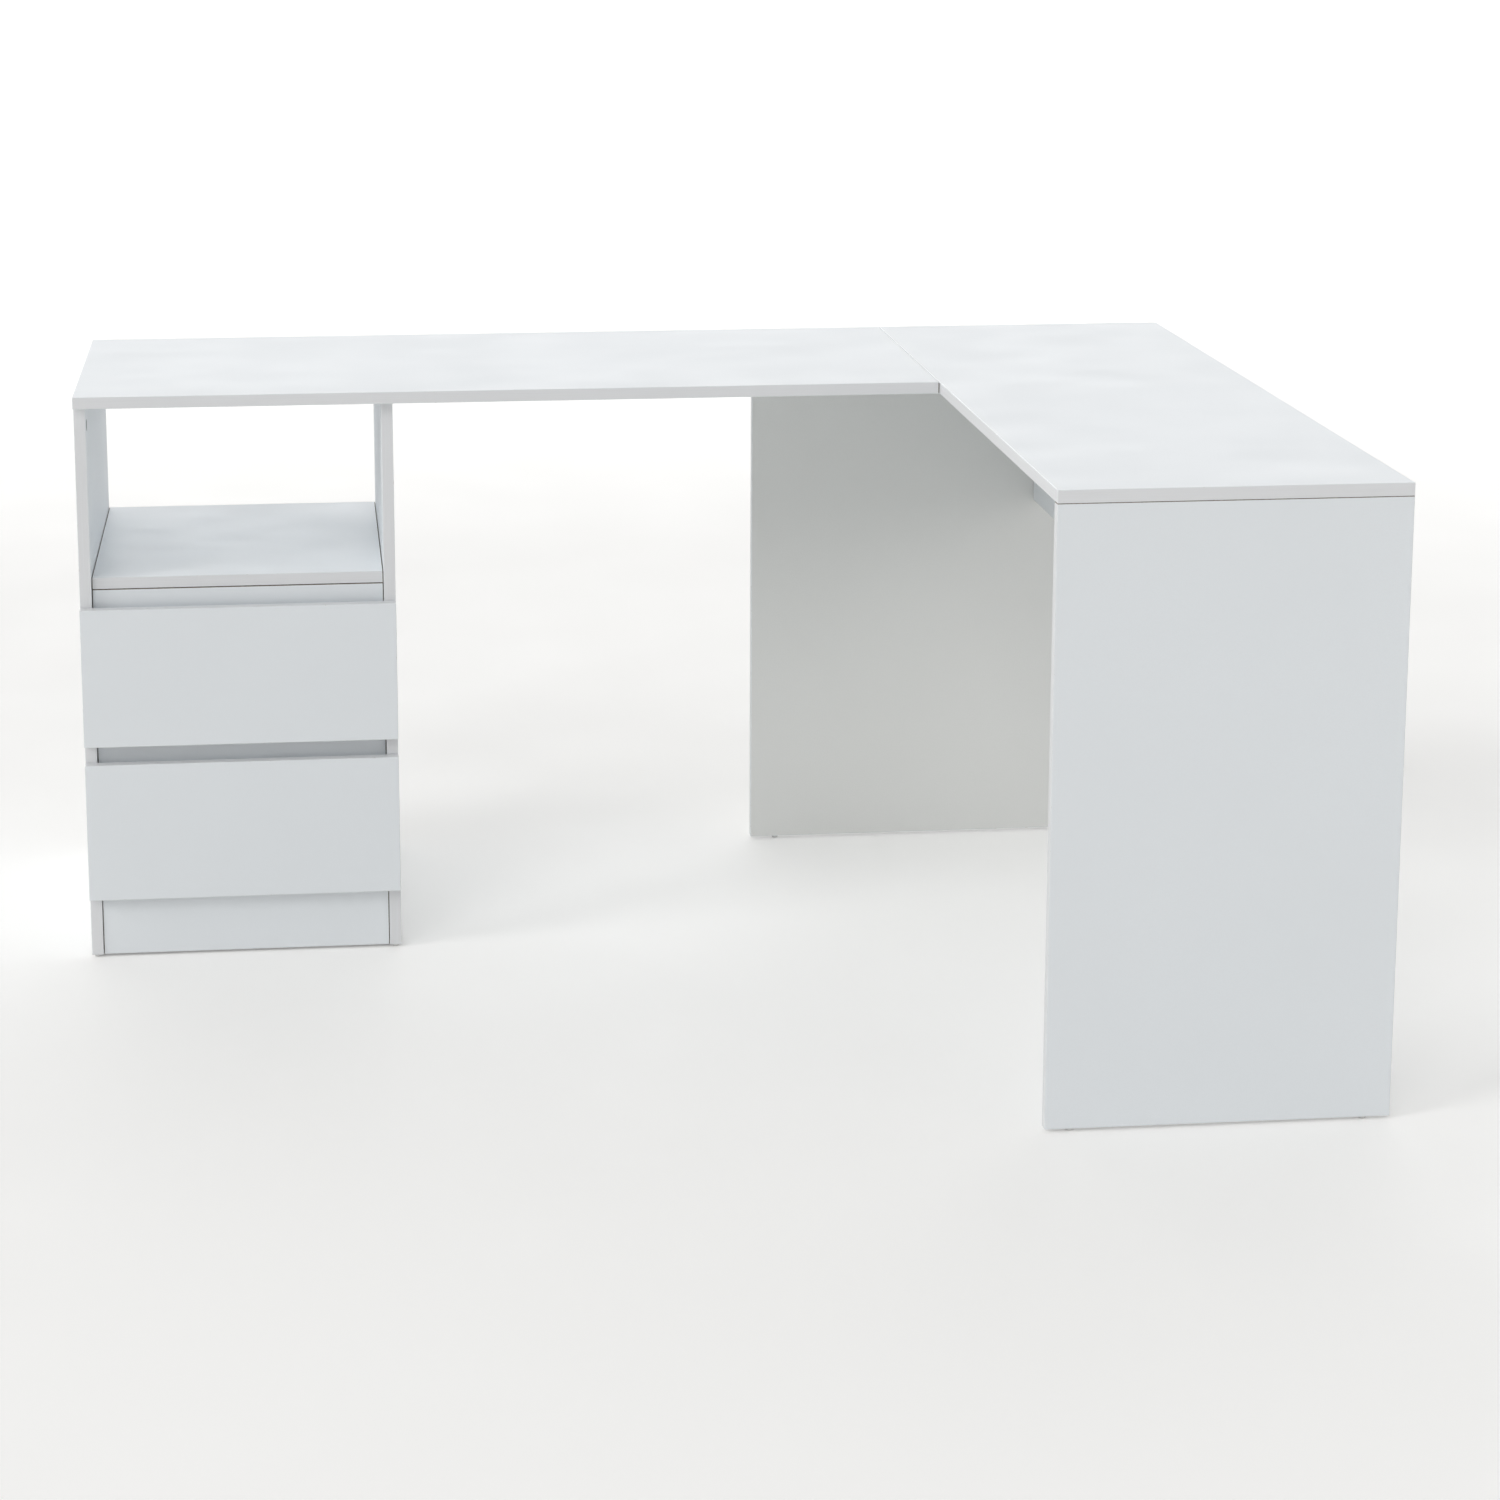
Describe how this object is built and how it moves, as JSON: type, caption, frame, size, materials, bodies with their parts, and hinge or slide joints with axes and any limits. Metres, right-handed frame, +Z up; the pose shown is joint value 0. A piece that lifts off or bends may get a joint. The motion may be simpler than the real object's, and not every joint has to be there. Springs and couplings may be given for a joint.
{
  "type": "corner desk",
  "caption": "White L-shaped corner desk: a long top on a pedestal with an open niche over drawers, and a return top on an end panel.",
  "frame": {"origin": "centre of the bounding box's bottom face, on the floor", "axes": "+X to the right along the back edge, +Y to the back, +Z up; the drawers open towards -Y"},
  "size_m": [1.5, 1.2, 0.7385],
  "materials": {
    "melamine": "white melamine-faced chipboard, satin, with matching edge band",
    "drawer_board": "white foil-wrapped board, satin",
    "hardboard": "thin hardboard, white lacquered on the inner face",
    "runner_steel": "pressed steel, off-white epoxy powder coat",
    "plate_steel": "zinc-plated steel",
    "cam_zinc": "die-cast zinc, dull",
    "roller_nylon": "moulded nylon",
    "glide_plastic": "moulded plastic"
  },
  "bodies": {
    "frame": {"corner_glide_left": "glide_plastic", "corner_glide_right": "glide_plastic", "corner_panel": "melamine", "corner_panel_cam_left": "cam_zinc", "corner_panel_cam_right": "cam_zinc", "end_glide_left": "glide_plastic", "end_glide_right": "glide_plastic", "end_panel": "melamine", "end_panel_cam_left": "cam_zinc", "end_panel_cam_right": "cam_zinc", "lower_drawer_left_carcass_runner": "runner_steel", "lower_drawer_right_carcass_runner": "runner_steel", "main_top": "melamine", "pedestal_back": "hardboard", "pedestal_bottom": "melamine", "pedestal_left_cam_front": "cam_zinc", "pedestal_left_cam_rear": "cam_zinc", "pedestal_left_glide_front": "glide_plastic", "pedestal_left_glide_rear": "glide_plastic", "pedestal_left_side": "melamine", "pedestal_middle_rail": "melamine", "pedestal_plinth": "melamine", "pedestal_right_cam_front": "cam_zinc", "pedestal_right_cam_rear": "cam_zinc", "pedestal_right_glide_front": "glide_plastic", "pedestal_right_glide_rear": "glide_plastic", "pedestal_right_side": "melamine", "pedestal_shelf": "melamine", "pedestal_upper_rail": "melamine", "return_stretcher": "melamine", "return_top": "melamine", "seam_plate_front": "plate_steel", "seam_plate_rear": "plate_steel", "stretcher_cam_front": "cam_zinc", "stretcher_cam_rear": "cam_zinc", "upper_drawer_left_carcass_runner": "runner_steel", "upper_drawer_right_carcass_runner": "runner_steel"},
    "lower_drawer": {"lower_drawer_back": "drawer_board", "lower_drawer_bottom": "hardboard", "lower_drawer_front": "melamine", "lower_drawer_left_drawer_runner": "runner_steel", "lower_drawer_left_side": "drawer_board", "lower_drawer_right_drawer_runner": "runner_steel", "lower_drawer_right_side": "drawer_board"},
    "upper_drawer": {"upper_drawer_back": "drawer_board", "upper_drawer_bottom": "hardboard", "upper_drawer_front": "melamine", "upper_drawer_left_drawer_runner": "runner_steel", "upper_drawer_left_side": "drawer_board", "upper_drawer_right_drawer_runner": "runner_steel", "upper_drawer_right_side": "drawer_board"},
    "lower_drawer_left_front_roller": {"lower_drawer_left_front_roller": "roller_nylon"},
    "lower_drawer_left_rear_roller": {"lower_drawer_left_rear_roller": "roller_nylon"},
    "lower_drawer_right_front_roller": {"lower_drawer_right_front_roller": "roller_nylon"},
    "lower_drawer_right_rear_roller": {"lower_drawer_right_rear_roller": "roller_nylon"},
    "upper_drawer_left_front_roller": {"upper_drawer_left_front_roller": "roller_nylon"},
    "upper_drawer_left_rear_roller": {"upper_drawer_left_rear_roller": "roller_nylon"},
    "upper_drawer_right_front_roller": {"upper_drawer_right_front_roller": "roller_nylon"},
    "upper_drawer_right_rear_roller": {"upper_drawer_right_rear_roller": "roller_nylon"}
  },
  "joints": [
    {"name": "lower_drawer_slide", "type": "slide", "parent": "frame", "child": "lower_drawer", "axis": [0, -1, 0], "range_m": [0, 0.3]},
    {"name": "lower_drawer_left_front_roller_spin", "type": "hinge", "parent": "frame", "child": "lower_drawer_left_front_roller", "pos_m": [-0.72875, 0.152, 0.11675], "axis": [1, 0, 0], "range_deg": [0, 2460]},
    {"name": "lower_drawer_left_rear_roller_spin", "type": "hinge", "parent": "lower_drawer", "child": "lower_drawer_left_rear_roller", "pos_m": [-0.72875, 0.52, 0.11375], "axis": [1, 0, 0], "range_deg": [0, 2550]},
    {"name": "lower_drawer_right_front_roller_spin", "type": "hinge", "parent": "frame", "child": "lower_drawer_right_front_roller", "pos_m": [-0.37125, 0.152, 0.11675], "axis": [1, 0, 0], "range_deg": [0, 2460]},
    {"name": "lower_drawer_right_rear_roller_spin", "type": "hinge", "parent": "lower_drawer", "child": "lower_drawer_right_rear_roller", "pos_m": [-0.37125, 0.52, 0.11375], "axis": [1, 0, 0], "range_deg": [0, 2550]},
    {"name": "upper_drawer_slide", "type": "slide", "parent": "frame", "child": "upper_drawer", "axis": [0, -1, 0], "range_m": [0, 0.3]},
    {"name": "upper_drawer_left_front_roller_spin", "type": "hinge", "parent": "frame", "child": "upper_drawer_left_front_roller", "pos_m": [-0.72875, 0.152, 0.32025], "axis": [1, 0, 0], "range_deg": [0, 2460]},
    {"name": "upper_drawer_left_rear_roller_spin", "type": "hinge", "parent": "upper_drawer", "child": "upper_drawer_left_rear_roller", "pos_m": [-0.72875, 0.52, 0.31725], "axis": [1, 0, 0], "range_deg": [0, 2550]},
    {"name": "upper_drawer_right_front_roller_spin", "type": "hinge", "parent": "frame", "child": "upper_drawer_right_front_roller", "pos_m": [-0.37125, 0.152, 0.32025], "axis": [1, 0, 0], "range_deg": [0, 2460]},
    {"name": "upper_drawer_right_rear_roller_spin", "type": "hinge", "parent": "upper_drawer", "child": "upper_drawer_right_rear_roller", "pos_m": [-0.37125, 0.52, 0.31725], "axis": [1, 0, 0], "range_deg": [0, 2550]}
  ],
  "couplings": [
    {"joint": "lower_drawer_left_front_roller_spin", "follows": "lower_drawer_slide", "rad_per_m": 142.86},
    {"joint": "lower_drawer_left_rear_roller_spin", "follows": "lower_drawer_slide", "rad_per_m": 148.15},
    {"joint": "lower_drawer_right_front_roller_spin", "follows": "lower_drawer_slide", "rad_per_m": 142.86},
    {"joint": "lower_drawer_right_rear_roller_spin", "follows": "lower_drawer_slide", "rad_per_m": 148.15},
    {"joint": "upper_drawer_left_front_roller_spin", "follows": "upper_drawer_slide", "rad_per_m": 142.86},
    {"joint": "upper_drawer_left_rear_roller_spin", "follows": "upper_drawer_slide", "rad_per_m": 148.15},
    {"joint": "upper_drawer_right_front_roller_spin", "follows": "upper_drawer_slide", "rad_per_m": 142.86},
    {"joint": "upper_drawer_right_rear_roller_spin", "follows": "upper_drawer_slide", "rad_per_m": 148.15}
  ]
}
